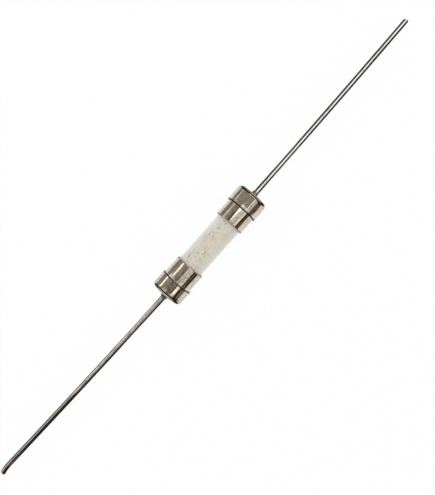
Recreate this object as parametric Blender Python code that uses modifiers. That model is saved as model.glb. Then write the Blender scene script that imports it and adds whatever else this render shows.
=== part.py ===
"""Ceramic tube fuse with axial wire leads, lying on its two lead caps.

The fuse's axis is world X and its middle is the origin. A cartridge fuse (ceramic
tube, packed sand, element and two end caps) carries a pressed-on lead cap at each end,
and each lead cap holds a headed wire that leaves through the middle of its closed end.

Turned pieces are drawn as outlines of (along, radius) points. At an end of the fuse,
along is measured outwards from the end cap's closed face, so that one set of outlines
serves both ends.
"""

import math

import bmesh
import bpy

# How finely round things are drawn
AROUND = 32
ARC_STEPS = 4
INNER_STEPS = 3
LIP_STEPS = 2
WIRE_BEVEL = 4
LEAD_STATIONS = 22
HOOK_STATIONS = 4
SMOOTH_ANGLE = math.radians(35)

# Points closer than this are one point
WELD = 1e-7

# Cartridge fuse
FUSE_LENGTH = 0.0200
TUBE_DIAMETER = 0.00445
TUBE_BORE = 0.0026
TUBE_EDGE_BREAK = 0.00012

# Drawn end caps, pressed on to the tube
END_CAP_LENGTH = 0.00524
END_CAP_WALL = 0.000325
END_CAP_CORNER = 0.00050

# Drawn lead caps, pressed over the end caps
LEFT_LEAD_CAP_LENGTH = 0.00285
RIGHT_LEAD_CAP_LENGTH = 0.00318
LEAD_CAP_WALL = 0.00021
LEAD_CAP_CORNER = 0.00060

# Open rims of all four caps
RIM_ROUND = 0.00008
RIM_LEAD_IN = 0.00006

# Headed wires, measured from the lead caps' closed faces to the tips
LEAD_DIAMETER = 0.0008
LEFT_LEAD_LENGTH = 0.03985
RIGHT_LEAD_LENGTH = 0.0383
HEAD_DIAMETER = 0.0024
HEAD_THICKNESS = 0.00038
HEAD_EDGE = 0.00008

# Tin on the wires, thickest at the caps and thinned out after a short run
TIN_THICKNESS = 0.000035
TIN_RUN = 0.0070

# How far each tip has drifted sideways, and how late along the wire the bend comes
LEFT_DRIFT = 0.00079
LEFT_DRIFT_POWER = 1.45
RIGHT_DRIFT = 0.000345
RIGHT_DRIFT_POWER = 1.9

# Tips: the left one was hooked by the nippers, the right one was cut on a skew
HOOK_RUN = 0.0018
HOOK_DROP = 0.00022
HOOK_POWER = 2.0
CUT_SKEW = math.radians(12)
CUT_ROUND = 0.00007

# Solder inside the lead caps, at the wires' roots and on the element's ends
BED_THICKNESS = 0.00020
FILLET_DIAMETER = 0.0018
FILLET_LENGTH = 0.00060
FILLET_LIP = 0.00005
PAD_THICKNESS = 0.0006
PAD_DISH = 0.00015

# Melting element
ELEMENT_DIAMETER = 0.00025

# Clearances: between pressed walls, between faces that meet, and round a wire
PRESS_GAP = 0.00005
SEAT_GAP = 0.00003
WIRE_GAP = 0.00003

# Finishes: colour, roughness and metallic
CERAMIC = ((0.72, 0.68, 0.60), 0.60, 0.0)
NICKEL = ((0.66, 0.62, 0.56), 0.22, 1.0)
TINNED_WIRE = ((0.60, 0.58, 0.55), 0.30, 1.0)
SOLDER = ((0.50, 0.49, 0.47), 0.38, 1.0)
SILVERED_WIRE = ((0.80, 0.78, 0.74), 0.25, 1.0)
SAND = ((0.74, 0.70, 0.62), 0.90, 0.0)

# Radii that follow from the sizes
TUBE_RADIUS = TUBE_DIAMETER / 2
BORE_RADIUS = TUBE_BORE / 2
WIRE_RADIUS = LEAD_DIAMETER / 2
HEAD_RADIUS = HEAD_DIAMETER / 2
FILLET_RADIUS = FILLET_DIAMETER / 2
ELEMENT_RADIUS = ELEMENT_DIAMETER / 2
ELEMENT_CHANNEL = ELEMENT_RADIUS + WIRE_GAP
WIRE_HOLE = WIRE_RADIUS + TIN_THICKNESS + WIRE_GAP
END_CAP_BORE = TUBE_RADIUS + PRESS_GAP
END_CAP_RADIUS = END_CAP_BORE + END_CAP_WALL
LEAD_CAP_BORE = END_CAP_RADIUS + PRESS_GAP
LEAD_CAP_RADIUS = LEAD_CAP_BORE + LEAD_CAP_WALL

# Places along an end of the fuse, outwards from the end cap's closed face
TUBE_END = -END_CAP_WALL - SEAT_GAP
PAD_BACK = TUBE_END - PAD_THICKNESS
BED_START = SEAT_GAP
BED_FLOOR = BED_START + BED_THICKNESS
HEAD_START = BED_FLOOR + SEAT_GAP
HEAD_END = HEAD_START + HEAD_THICKNESS
LEAD_CAP_FLOOR = HEAD_END + SEAT_GAP
LEAD_CAP_FACE = LEAD_CAP_FLOOR + LEAD_CAP_WALL
FILLET_START = LEAD_CAP_FACE + SEAT_GAP
FILLET_END = FILLET_START + FILLET_LENGTH

# Half lengths of what runs through the fuse, from its middle
HALF_FUSE = FUSE_LENGTH / 2
HALF_TUBE = HALF_FUSE + TUBE_END
HALF_FILLER = HALF_FUSE + PAD_BACK - SEAT_GAP


def clear_scene():
    for thing in list(bpy.data.objects):
        bpy.data.objects.remove(thing, do_unlink=True)


def new_collection(name):
    group = bpy.data.collections.new(name)
    bpy.context.scene.collection.children.link(group)
    return group


def end_frame(name, turn):
    """An empty on an end cap's closed face, with its X pointing out along the axis."""
    empty = bpy.data.objects.new(name, None)
    empty.rotation_euler = (0, 0, turn)
    empty.location = (HALF_FUSE * math.cos(turn), HALF_FUSE * math.sin(turn), 0)
    empty.empty_display_size = LEAD_CAP_RADIUS
    parts.objects.link(empty)
    return empty


def paint(piece, finish):
    """Give a piece a Principled material of its own."""
    colour, roughness, metallic = finish
    material = bpy.data.materials.new(piece.name)
    material.use_nodes = True
    material.diffuse_color = (*colour, 1)
    shader = material.node_tree.nodes["Principled BSDF"]
    shader.inputs["Base Color"].default_value = (*colour, 1)
    shader.inputs["Roughness"].default_value = roughness
    shader.inputs["Metallic"].default_value = metallic
    piece.data.materials.clear()
    piece.data.materials.append(material)


def settle(piece):
    """Write a piece's modifiers into its mesh, smooth its round faces, keep its edges."""
    view = bpy.context.evaluated_depsgraph_get()
    mesh = bpy.data.meshes.new_from_object(piece.evaluated_get(view))
    mesh.name = piece.name
    piece.modifiers.clear()
    piece.data = mesh
    mesh.shade_smooth()
    mesh.set_sharp_from_angle(angle=SMOOTH_ANGLE)


def arc(centre, radius, start, end, steps=ARC_STEPS):
    """Points of an arc in the (along, radius) plane, from one angle to another."""
    angles = [math.radians(start + (end - start) * i / steps) for i in range(steps + 1)]
    return [(centre[0] + radius * math.cos(a), centre[1] + radius * math.sin(a))
            for a in angles]


def turned(name, outline, group):
    """Turn an outline about the X axis with a Screw modifier.

    It starts half a facet round, so that every turned piece has a flat facing straight
    down. An outline that ends on the axis stays open there, and any other is closed.
    """
    half_facet = math.pi / AROUND
    points = [(along, radius * math.sin(half_facet), radius * math.cos(half_facet))
              for along, radius in outline]
    edges = [(i, i + 1) for i in range(len(points) - 1)]
    if outline[0][1] > 0:
        edges.append((len(points) - 1, 0))
    profile = bpy.data.meshes.new(name)
    profile.from_pydata(points, edges, [])
    piece = bpy.data.objects.new(name, profile)
    group.objects.link(piece)
    screw = piece.modifiers.new("turn", 'SCREW')
    screw.axis = 'X'
    screw.angle = 2 * math.pi
    screw.steps = AROUND
    screw.render_steps = AROUND
    screw.use_merge_vertices = True
    screw.merge_threshold = WELD
    return piece


def turned_part(name, outline, finish, frame=None):
    """A finished turned piece, in an end's frame or about the fuse's middle."""
    piece = turned(name, outline, parts)
    settle(piece)
    paint(piece, finish)
    piece.parent = frame


def cup_outline(rim, face, bore, wall, corner, hole):
    """A drawn cup: rounded corner, even wall and rounded open rim.

    Its closed end has a hole round the axis, or none where hole is 0.
    """
    radius = bore + wall
    floor = face - wall
    inner_corner = corner - wall
    shoulder = arc((face - corner, radius - corner), corner, 0, 90)
    lip = arc((rim + RIM_ROUND, radius - RIM_ROUND), RIM_ROUND, 90, 180, LIP_STEPS)
    mouth = [(rim, bore + RIM_LEAD_IN), (rim + RIM_LEAD_IN, bore)]
    inside = arc((floor - inner_corner, bore - inner_corner), inner_corner, 90, 0, INNER_STEPS)
    return [(face, hole)] + shoulder + lip + mouth + inside + [(floor, hole)]


def ceramic_tube():
    """The fuse's body, a plain tube with its outer edges broken."""
    rim = TUBE_RADIUS - TUBE_EDGE_BREAK
    shoulder = HALF_TUBE - TUBE_EDGE_BREAK
    outline = [(HALF_TUBE, BORE_RADIUS), (HALF_TUBE, rim), (shoulder, TUBE_RADIUS),
               (-shoulder, TUBE_RADIUS), (-HALF_TUBE, rim), (-HALF_TUBE, BORE_RADIUS)]
    turned_part("ceramic_tube", outline, CERAMIC)


def quartz_filler():
    """Packed sand between the solder pads, with the element's channel through it."""
    rim = BORE_RADIUS - SEAT_GAP
    outline = [(HALF_FILLER, ELEMENT_CHANNEL), (HALF_FILLER, rim),
               (-HALF_FILLER, rim), (-HALF_FILLER, ELEMENT_CHANNEL)]
    turned_part("quartz_filler", outline, SAND)


def fuse_element():
    """The melting wire, straight through the bore from end cap to end cap."""
    outline = [(HALF_TUBE, 0), (HALF_TUBE, ELEMENT_RADIUS),
               (-HALF_TUBE, ELEMENT_RADIUS), (-HALF_TUBE, 0)]
    turned_part("fuse_element", outline, SILVERED_WIRE)


def end_cap(name, frame):
    outline = cup_outline(-END_CAP_LENGTH, 0, END_CAP_BORE, END_CAP_WALL,
                          END_CAP_CORNER, 0)
    turned_part(name, outline, NICKEL, frame)


def lead_cap(name, frame, length):
    outline = cup_outline(LEAD_CAP_FACE - length, LEAD_CAP_FACE, LEAD_CAP_BORE, LEAD_CAP_WALL,
                          LEAD_CAP_CORNER, WIRE_HOLE)
    turned_part(name, outline, NICKEL, frame)


def element_solder(name, frame):
    """The pad that ties the element to an end cap, dished where it met the sand."""
    rim = BORE_RADIUS - SEAT_GAP
    outline = [(TUBE_END, ELEMENT_CHANNEL), (TUBE_END, rim), (PAD_BACK, rim),
               (PAD_BACK + PAD_DISH, ELEMENT_CHANNEL)]
    turned_part(name, outline, SOLDER, frame)


def bed_solder(name, frame):
    """The bed between the two caps of an end, cast round the back of the wire's head."""
    rim = END_CAP_RADIUS - END_CAP_CORNER
    pocket = HEAD_RADIUS + WIRE_GAP
    outline = [(BED_FLOOR, 0), (BED_FLOOR, pocket), (HEAD_END, pocket), (HEAD_END, rim),
               (BED_START, rim), (BED_START, 0)]
    turned_part(name, outline, SOLDER, frame)


def root_solder(name, frame):
    """The fillet that climbs from the lead cap's face on to the wire."""
    lip = WIRE_HOLE + FILLET_LIP
    spread = FILLET_RADIUS - lip
    angles = [math.pi / 2 * i / ARC_STEPS for i in range(ARC_STEPS + 1)]
    flank = [(FILLET_END - FILLET_LENGTH * math.sin(a), FILLET_RADIUS - spread * math.cos(a))
             for a in angles]
    outline = [(FILLET_END, WIRE_HOLE)] + flank + [(FILLET_START, WIRE_HOLE)]
    turned_part(name, outline, SOLDER, frame)


def wire_route(length, drift, power, hook):
    """Points (along, sideways, radius factor) of a wire from inside its head to its tip.

    The last point lies past the tip, for the cut to take off.
    """
    tip = LEAD_CAP_FACE + length
    bend = tip - HOOK_RUN
    spare = tip + LEAD_DIAMETER
    stations = [FILLET_END + (bend - FILLET_END) * i / LEAD_STATIONS
                for i in range(LEAD_STATIONS + 1)]
    stations += [bend + HOOK_RUN * i / HOOK_STATIONS for i in range(1, HOOK_STATIONS + 1)]
    route = []
    for along in [HEAD_START + HEAD_THICKNESS / 2] + stations + [spare]:
        run = max(along - FILLET_END, 0)
        hooked = max(along - bend, 0) / HOOK_RUN
        sideways = drift * (run / (tip - FILLET_END)) ** power - hook * hooked ** HOOK_POWER
        tin = TIN_THICKNESS * max(1 - run / TIN_RUN, 0)
        route.append((along, sideways, 1 + tin / WIRE_RADIUS))
    return route


def bent_wire(name, route):
    """A bevelled curve along a route, made a mesh with its end caps welded."""
    curve = bpy.data.curves.new(name, 'CURVE')
    curve.dimensions = '3D'
    curve.bevel_depth = WIRE_RADIUS
    curve.bevel_resolution = WIRE_BEVEL
    curve.use_fill_caps = True
    spline = curve.splines.new('POLY')
    spline.points.add(len(route) - 1)
    for point, (along, sideways, factor) in zip(spline.points, route):
        point.co = (along, sideways, 0, 1)
        point.radius = factor
    guide = bpy.data.objects.new(name, curve)
    parts.objects.link(guide)
    view = bpy.context.evaluated_depsgraph_get()
    mesh = bpy.data.meshes.new_from_object(guide.evaluated_get(view))
    bpy.data.objects.remove(guide)
    work = bmesh.new()
    work.from_mesh(mesh)
    bmesh.ops.remove_doubles(work, verts=work.verts, dist=WELD)
    work.to_mesh(mesh)
    work.free()
    return mesh


def cut_tip(mesh, place, skew):
    """Cut a wire off at a place on a skew, close it and round the cut's edge."""
    work = bmesh.new()
    work.from_mesh(mesh)
    cut = bmesh.ops.bisect_plane(
        work, geom=work.verts[:] + work.edges[:] + work.faces[:], dist=WELD,
        plane_co=place, plane_no=(math.cos(skew), math.sin(skew), 0), clear_outer=True)
    rim = [part for part in cut["geom_cut"] if isinstance(part, bmesh.types.BMEdge)]
    bmesh.ops.edgeloop_fill(work, edges=rim)
    bmesh.ops.bevel(work, geom=rim, offset=CUT_ROUND, segments=2, profile=0.5,
                    affect='EDGES', material=-1)
    bmesh.ops.recalc_face_normals(work, faces=work.faces)
    work.to_mesh(mesh)
    work.free()


def lead(name, frame, length, drift, power, hook, skew):
    """A headed wire in one piece: the bent wire joined to its turned head."""
    route = wire_route(length, drift, power, hook)
    mesh = bent_wire(name, route)
    along, sideways, factor = route[-2]
    cut_tip(mesh, (along, sideways, 0), skew)
    wire = bpy.data.objects.new(name, mesh)
    parts.objects.link(wire)
    head = turned(name + "_head", [
        (HEAD_END, 0), (HEAD_END, HEAD_RADIUS - HEAD_EDGE), (HEAD_END - HEAD_EDGE, HEAD_RADIUS),
        (HEAD_START + HEAD_EDGE, HEAD_RADIUS), (HEAD_START, HEAD_RADIUS - HEAD_EDGE),
        (HEAD_START, 0)], cutters)
    head.hide_render = True
    head.display_type = 'WIRE'
    join = wire.modifiers.new("head", 'BOOLEAN')
    join.operation = 'UNION'
    join.solver = 'EXACT'
    join.object = head
    settle(wire)
    paint(wire, TINNED_WIRE)
    wire.parent = frame


clear_scene()
parts = new_collection("ceramic_axial_lead_fuse")
cutters = new_collection("cutters")

ceramic_tube()
quartz_filler()
fuse_element()

left = end_frame("left_end", math.pi)
right = end_frame("right_end", 0)
lead_cap("lead_cap_left", left, LEFT_LEAD_CAP_LENGTH)
lead_cap("lead_cap_right", right, RIGHT_LEAD_CAP_LENGTH)
for side, frame in (("left", left), ("right", right)):
    end_cap("end_cap_" + side, frame)
    element_solder("element_solder_" + side, frame)
    bed_solder("bed_solder_" + side, frame)
    root_solder("root_solder_" + side, frame)

# Both tips drift towards world +Y, which is the left end's own -Y
lead("lead_left", left, LEFT_LEAD_LENGTH, -LEFT_DRIFT, LEFT_DRIFT_POWER, -HOOK_DROP, 0)
lead("lead_right", right, RIGHT_LEAD_LENGTH, RIGHT_DRIFT, RIGHT_DRIFT_POWER, 0, CUT_SKEW)
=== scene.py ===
# %% [markdown]
# # A ceramic fuse with axial leads
#
# The object is a sand-filled ceramic fuse, 20 mm long over its end caps, with a wire
# soldered into a second cap at each end. It lies on its two lead caps, seen from above.
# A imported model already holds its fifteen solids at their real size. This notebook gives
# it its looks: fine meshes for the faceted solids, a finish for every surface, and a
# small white studio like the one in the photograph.
#
# The fuse's axis is world X, its middle is the origin, and every length is in metres.

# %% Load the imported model
import math

import bmesh
import bpy
from mathutils import Matrix, Vector, noise


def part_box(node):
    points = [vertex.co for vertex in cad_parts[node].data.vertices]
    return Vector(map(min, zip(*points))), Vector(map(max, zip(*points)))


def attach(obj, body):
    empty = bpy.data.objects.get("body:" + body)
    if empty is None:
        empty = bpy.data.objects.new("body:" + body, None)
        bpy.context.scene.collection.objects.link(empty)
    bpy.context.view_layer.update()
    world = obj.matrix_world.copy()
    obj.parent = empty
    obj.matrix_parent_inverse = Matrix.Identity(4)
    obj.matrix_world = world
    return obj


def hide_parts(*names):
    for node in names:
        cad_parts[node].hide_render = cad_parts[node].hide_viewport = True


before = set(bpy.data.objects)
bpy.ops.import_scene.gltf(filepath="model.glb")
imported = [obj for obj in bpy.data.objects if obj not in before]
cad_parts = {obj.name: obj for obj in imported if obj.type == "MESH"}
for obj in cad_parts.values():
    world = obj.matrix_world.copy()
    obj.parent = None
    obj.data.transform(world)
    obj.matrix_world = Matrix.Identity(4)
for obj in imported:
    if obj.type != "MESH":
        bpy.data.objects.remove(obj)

MM = 0.001
scene = bpy.context.scene
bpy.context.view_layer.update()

# %% [markdown]
# ## Reading sizes off the solids
#
# The solids are turned with 32 flat facets, and a flat faces straight down. Their boxes
# therefore measure the distance between opposite flats. Dividing by the cosine of half
# a facet gives the radius of the round piece that the facets stand for, so no size has
# to be written down twice.

# %% Round radii and end places
FACETS = 32
ACROSS_FLATS = math.cos(math.pi / FACETS)


def radius_of(node):
    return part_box(node)[1].z / ACROSS_FLATS


def ends_of(node):
    """How far out from the fuse's middle a node's two ends are, the nearer one first."""
    low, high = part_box(node)
    return sorted((abs(low.x), abs(high.x)))


TUBE_RADIUS = radius_of("ceramic_tube")
END_CAP_RADIUS = radius_of("end_cap_right")
LEAD_CAP_RADIUS = radius_of("lead_cap_right")
print("radii in mm:", [round(r / MM, 3) for r in (TUBE_RADIUS, END_CAP_RADIUS, LEAD_CAP_RADIUS)])

# %% [markdown]
# ## The camera
#
# The photograph looks straight down on the fuse from close by. How far apart the wires'
# tips appear against the middle of the fuse gives the distance, and the fuse's known
# length gives the scale. The camera is turned about the vertical so that the fuse runs
# up to the right at the photograph's angle, and it stands a little off the fuse's middle,
# because the photograph does too.

# %% Place the camera
PHOTO_WIDTH = 435
PHOTO_HEIGHT = 495
PIXELS_PER_METRE = 6060
FUSE_MIDDLE_PIXEL = Vector((209.64, 244.92))
FUSE_ANGLE = math.radians(48.41)
CAMERA_HEIGHT = 0.075
SENSOR = 36

camera_data = bpy.data.cameras.new("camera")
camera_data.sensor_width = SENSOR
camera_data.lens = PIXELS_PER_METRE * CAMERA_HEIGHT / PHOTO_HEIGHT * SENSOR
camera_data.clip_start = 0.001
camera_data.clip_end = 10
camera = bpy.data.objects.new("camera", camera_data)
scene.collection.objects.link(camera)
scene.camera = camera

image_right = Vector((math.cos(FUSE_ANGLE), -math.sin(FUSE_ANGLE), 0))
image_up = Vector((math.sin(FUSE_ANGLE), math.cos(FUSE_ANGLE), 0))
step_right = (PHOTO_WIDTH / 2 - FUSE_MIDDLE_PIXEL.x) / PIXELS_PER_METRE
step_up = (FUSE_MIDDLE_PIXEL.y - PHOTO_HEIGHT / 2) / PIXELS_PER_METRE
camera.location = image_right * step_right + image_up * step_up + Vector((0, 0, CAMERA_HEIGHT))
camera.rotation_euler = (0, 0, -FUSE_ANGLE)
print("lens", round(camera_data.lens, 2), "mm, camera at", [round(c / MM, 2) for c in camera.location])

# %% [markdown]
# ## Nodes without clutter
#
# Each material below is a handful of nodes. This helper adds one, sets its attributes,
# and then fills its inputs: a plain value is typed in, and an output of another node is
# wired in. Everything after it can be read as a recipe.

# %% A helper that adds a node
def add(tree, kind, inputs=None, **settings):
    made = tree.nodes.new(kind)
    for name, value in settings.items():
        setattr(made, name, value)
    for name, value in (inputs or {}).items():
        if isinstance(value, bpy.types.NodeSocket):
            tree.links.new(value, made.inputs[name])
        else:
            made.inputs[name].default_value = value
    return made


def calculate(tree, operation, *values):
    """A Math node's result."""
    return add(tree, "ShaderNodeMath", dict(enumerate(values)), operation=operation).outputs[0]


def times(tree, first, second):
    """The product of two values."""
    return calculate(tree, 'MULTIPLY', first, second)


def remap(tree, value, low, high, to_low=0.0, to_high=1.0, curve='LINEAR'):
    """Stretch a range of a value on to another range, held at its ends."""
    return add(tree, "ShaderNodeMapRange", {
        "Value": value, "From Min": low, "From Max": high, "To Min": to_low, "To Max": to_high,
    }, interpolation_type=curve).outputs["Result"]


def blend(tree, factor, first, second):
    """Two colours mixed by a mask."""
    return add(tree, "ShaderNodeMix", {"Factor": factor, "A": first, "B": second},
               data_type='RGBA').outputs["Result"]


# %% [markdown]
# Some small recipes come back in every material: the three parts of a place, a noise, an
# attribute that a mesh carries, shares of values added up, and coats of colour laid over
# each other. Each coat is a mask, the share of it that covers, and its colour.

# %% Small recipes
def parts_of(tree, vector):
    return add(tree, "ShaderNodeSeparateXYZ", {"Vector": vector}).outputs


def grain_at(tree, place, scale, detail, roughness=0.5):
    return add(tree, "ShaderNodeTexNoise", {
        "Vector": place, "Scale": scale, "Detail": detail, "Roughness": roughness}).outputs[0]


def read_mark(tree, name):
    return add(tree, "ShaderNodeAttribute", attribute_name=name).outputs["Fac"]


def total(tree, value, *extras):
    """A value with others added to it, each given with the share of it that counts."""
    for extra, share in extras:
        value = calculate(tree, 'ADD', value, times(tree, extra, share))
    return value


def lay(tree, colour, *coats):
    for mask, share, tint in coats:
        colour = blend(tree, times(tree, mask, share), colour, tint)
    return colour


# %% [markdown]
# ## The studio: what the metal sees
#
# Bright plated caps have hardly any colour of their own. What we see in them is the
# room: the dark camera overhead, a long soft light on each side, a brown shade to the
# lower right, and the white table below. Real cards and lamps could be placed round the
# fuse, but a camera this close would look through them. So the room is painted on the
# world, by direction, and only reflected rays see it.
#
# Two angles place each card. Across the fuse, 0 is straight up, positive angles lean to
# the lower right of the photograph and 90 is the horizon. Along the fuse, 0 is straight
# up and positive angles lean towards the right lead. The camera is so close that each
# piece reflects its own few degrees along the fuse. The sectors below are those degrees:
# the caps share the middle 17, the wires see what lies beyond them up to 36 and a little
# more at their tips, and what lies from 40 outwards shows in the caps' rounded corners.
# A pair in SHOWN is the part of a sector that its cap really shows.

# %% Sectors along the fuse
LEFT_WALL = (-100, -60)
LEFT_GLINT = (-100, -62)
LEFT_BEYOND = (-60, -8.45)
LEFT_CORNER = (-60, -40)
LEFT_TIP = (-40, -33.5)
LEFT_WIRE = (-36, -8.45)
LEFT_NEAR_WIRE = (-24, -8.45)
LEFT_ROOT = (-14, -9.0)
LEFT_LEAD_CAP = (-8.45, -6.34)
LEFT_END_CAP = (-6.34, 0)
RIGHT_END_CAP = (0, 6.06)
RIGHT_LEAD_CAP = (6.06, 8.45)
RIGHT_WIRE = (8.45, 36)
RIGHT_BEYOND = (8.45, 60)
RIGHT_TIP = (33.5, 40)
RIGHT_CORNER = (40, 60)
RIGHT_WALL = (60, 100)
CAPS = (-8.45, 8.45)
SHOWN = {LEFT_END_CAP: (-6.34, -3.8), RIGHT_END_CAP: (3.8, 6.06)}

# %% [markdown]
# The cards are painted in this order, each over the last, so a broad tone comes first
# and its bright or dark lines after it. A colour over 1 is a lamp. Where a card starts or
# stops is one angle, or two when its edge runs aslant: the first is the edge's place at
# the left end of the sector and the second at the right end, because a real card seldom
# hangs square to the fuse. Fine wrinkles in the light follow the same two angles, as drawn
# metal breaks a reflection up into short strokes along the fuse.

# %% Cards on the world
ROOM = (0.365, 0.345, 0.285)
SIDE_WALL = (1.20, 1.15, 1.07)
OVERHEAD = (0.255, 0.215, 0.180)
OLIVE_OVERHEAD = (0.248, 0.226, 0.178)
GREY_OVERHEAD = (0.34, 0.33, 0.29)
HORIZON = (0.34, 0.30, 0.25)
DARK_HORIZON = (0.22, 0.19, 0.15)
WINDOW = (0.74, 0.69, 0.67)
WINDOW_EDGE = (1.15, 1.10, 1.08)
LAMP = (1.45, 1.42, 1.41)
BRIGHT_LAMP = (1.90, 1.86, 1.80)
DIM_LAMP = (0.86, 0.82, 0.80)
WIRE_LAMP = (1.68, 1.70, 1.72)
GOLDEN = (0.27, 0.21, 0.12)
BROWN = (0.21, 0.16, 0.085)
DARK_BROWN = (0.155, 0.110, 0.075)
BLACK = (0.030, 0.020, 0.010)
NIGHT = (0.060, 0.050, 0.038)
FAR_WALL = (0.95, 0.90, 0.85)

WALL_CARDS = [(-180, 180, SIDE_WALL), (-84, -64, WINDOW_EDGE), (62, 86, WINDOW)]

# For each sector: where its cards start and stop across the fuse, and their colours
CARDS = {
    CAPS: [(-100, -77, HORIZON)],
    LEFT_LEAD_CAP: [
        (-25, 17, OVERHEAD), (17, 24, BLACK), ((-73, -76), (-61, -60), WINDOW_EDGE),
        ((-71, -73), -64, BRIGHT_LAMP), (25, 43, LAMP), (49, 92, BROWN), (65, 78, GOLDEN),
        (49, (66, 58), BLACK)],
    LEFT_END_CAP: [
        ((-14, -22), (2, 0), OLIVE_OVERHEAD), ((-4, -7), (1, -1), DARK_BROWN),
        ((-61, -60), (-40, -45), WINDOW_EDGE), ((-58, -57), -48, BRIGHT_LAMP),
        ((1, -1), 50, DIM_LAMP), (50, 84, BLACK), (60, 68, GOLDEN)],
    RIGHT_END_CAP: [
        (-100, -84, DARK_HORIZON), ((-38, -28), (-8, -17), OLIVE_OVERHEAD),
        ((-20, -24), (-8, -17), DARK_BROWN), ((-74, -70), (-55, -62), DIM_LAMP),
        ((-8, -17), (50, 52), DIM_LAMP), ((-9, -17), (-6, 8), BRIGHT_LAMP),
        ((18, 24), (30, 34), WINDOW), ((35, 49), (42, 49), LAMP),
        ((50, 54), (81, 80), DARK_BROWN), ((53, 56), (60, 74), BLACK), (83, 100, FAR_WALL)],
    RIGHT_LEAD_CAP: [
        (-100, -88, DARK_HORIZON), (-30, 23, GREY_OVERHEAD), (21, 24, BLACK),
        ((-82, -85), (-74, -76), WINDOW_EDGE), (24, (52, 53), WINDOW), (25, 31, LAMP),
        (53, 91, DARK_BROWN)],
    LEFT_WALL: WALL_CARDS,
    RIGHT_WALL: WALL_CARDS,
    LEFT_BEYOND: [(-180, 180, NIGHT)],
    RIGHT_BEYOND: [(-180, 180, NIGHT)],
    LEFT_CORNER: [(-180, 180, FAR_WALL), (-30, -12, OVERHEAD), (64, 74, DARK_BROWN)],
    RIGHT_CORNER: [(-180, 180, FAR_WALL), (-28, -10, OVERHEAD), (62, 72, DARK_BROWN)],
    LEFT_WIRE: [
        (-100, -80, BROWN), (-80, (-14, -20), WINDOW), (-64, -58, OVERHEAD), (-14, 97, BLACK),
        ((44, 50), (47, 52), OVERHEAD)],
    LEFT_TIP: [
        (-180, 180, OVERHEAD), (-80, -12, WINDOW), ((-58, -52), (-50, -44), LAMP),
        (-34, -28, BROWN), (10, 16, BLACK), (16, 74, NIGHT), ((34, 37), (40, 41), WINDOW_EDGE),
        (56, 68, BROWN), (74, 80, BLACK), (80, 100, DARK_BROWN)],
    LEFT_NEAR_WIRE: [
        (-80, -30, LAMP), ((-40, -58), (-32, -48), BROWN), ((-28, -32), (26, 50), ROOM),
        ((-20, -26), (-12, -10), LAMP), ((-8, -4), (4, 8), BLACK),
        ((10, 16), (18, 34), DIM_LAMP)],
    LEFT_ROOT: [
        (-100, 60, BLACK), (-84, -60, BRIGHT_LAMP), (-48, -26, LAMP), (-12, 6, DIM_LAMP),
        (18, 36, DIM_LAMP), (44, 54, ROOM)],
    RIGHT_WIRE: [
        (-100, -36, NIGHT), (34, 100, BLACK), ((-66, -62), (-60, -57), WINDOW),
        ((50, 47), (52, 50), HORIZON), ((-25, -33), (40, 29), WIRE_LAMP)],
    RIGHT_TIP: [
        (-180, 180, GREY_OVERHEAD), (-100, -72, BROWN), (-72, -62, BLACK), (-62, -36, OVERHEAD),
        (-36, 34, WIRE_LAMP), ((-8, -14), (2, 6), WINDOW), ((12, 14), (18, 16), BROWN),
        (34, 42, BLACK), (42, 66, BROWN), (66, 76, BLACK), (76, 100, DARK_BROWN)],
    LEFT_GLINT: [(-35, 35, LAMP)],
}
EDGE_ACROSS = 0.8
EDGE_ALONG = 0.12
WRINKLE_ACROSS = 5.0
WRINKLE_ALONG = 0.25
WRINKLE_LEVELS = (0.74, 1.22)


def window(tree, angle, low, high, edge):
    """A mask that is 1 between two angles, with a soft edge at each."""
    rise = remap(tree, calculate(tree, 'SUBTRACT', angle, low), -edge, edge, curve='SMOOTHSTEP')
    fall = remap(tree, calculate(tree, 'SUBTRACT', high, angle), -edge, edge, curve='SMOOTHSTEP')
    return times(tree, rise, fall)


world = bpy.data.worlds.new("studio")
scene.world = world
world.use_nodes = True
world.cycles.sampling_method = 'NONE'
sky = world.node_tree
sky.nodes.clear()
direction = parts_of(sky, add(sky, "ShaderNodeTexCoord").outputs["Generated"])
down_the_photo = times(sky, direction["Y"], -1.0)
across = calculate(sky, 'DEGREES', calculate(sky, 'ARCTAN2', down_the_photo, direction["Z"]))
along = calculate(sky, 'DEGREES', calculate(sky, 'ARCSINE', direction["X"]))
seen_in_metal = add(sky, "ShaderNodeRGB").outputs[0]
seen_in_metal.default_value = (*ROOM, 1)
for sector, cards in CARDS.items():
    shown = SHOWN.get(sector, sector)
    in_sector = window(sky, along, *sector, EDGE_ALONG)
    for low, high, colour in cards:
        low, high = [remap(sky, along, *shown, *edge) if isinstance(edge, tuple) else edge
                     for edge in (low, high)]
        mask = times(sky, window(sky, across, low, high, EDGE_ACROSS), in_sector)
        seen_in_metal = blend(sky, mask, seen_in_metal, (*colour, 1))

wrinkle_place = add(sky, "ShaderNodeCombineXYZ", {
    "X": calculate(sky, 'DIVIDE', across, WRINKLE_ACROSS),
    "Y": calculate(sky, 'DIVIDE', along, WRINKLE_ALONG)}).outputs[0]
wrinkles = grain_at(sky, wrinkle_place, 1.0, 2.0, 0.6)
seen_in_metal = add(sky, "ShaderNodeVectorMath", {
    0: seen_in_metal, "Scale": remap(sky, wrinkles, 0.35, 0.65, *WRINKLE_LEVELS)},
    operation='SCALE').outputs[0]
print("cards in the studio:", sum(len(cards) for cards in CARDS.values()))

# %% [markdown]
# Diffuse rays get an even dome instead, and the camera gets plain white, the colour of
# the photograph's background. A world that answers differently to each kind of ray must
# not be sampled as a lamp, so its sampling is off above: every ray then carries its own
# kind when it reaches the sky.

# %% Finish the world
DOME = (0.86, 0.86, 0.86, 1)

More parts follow.
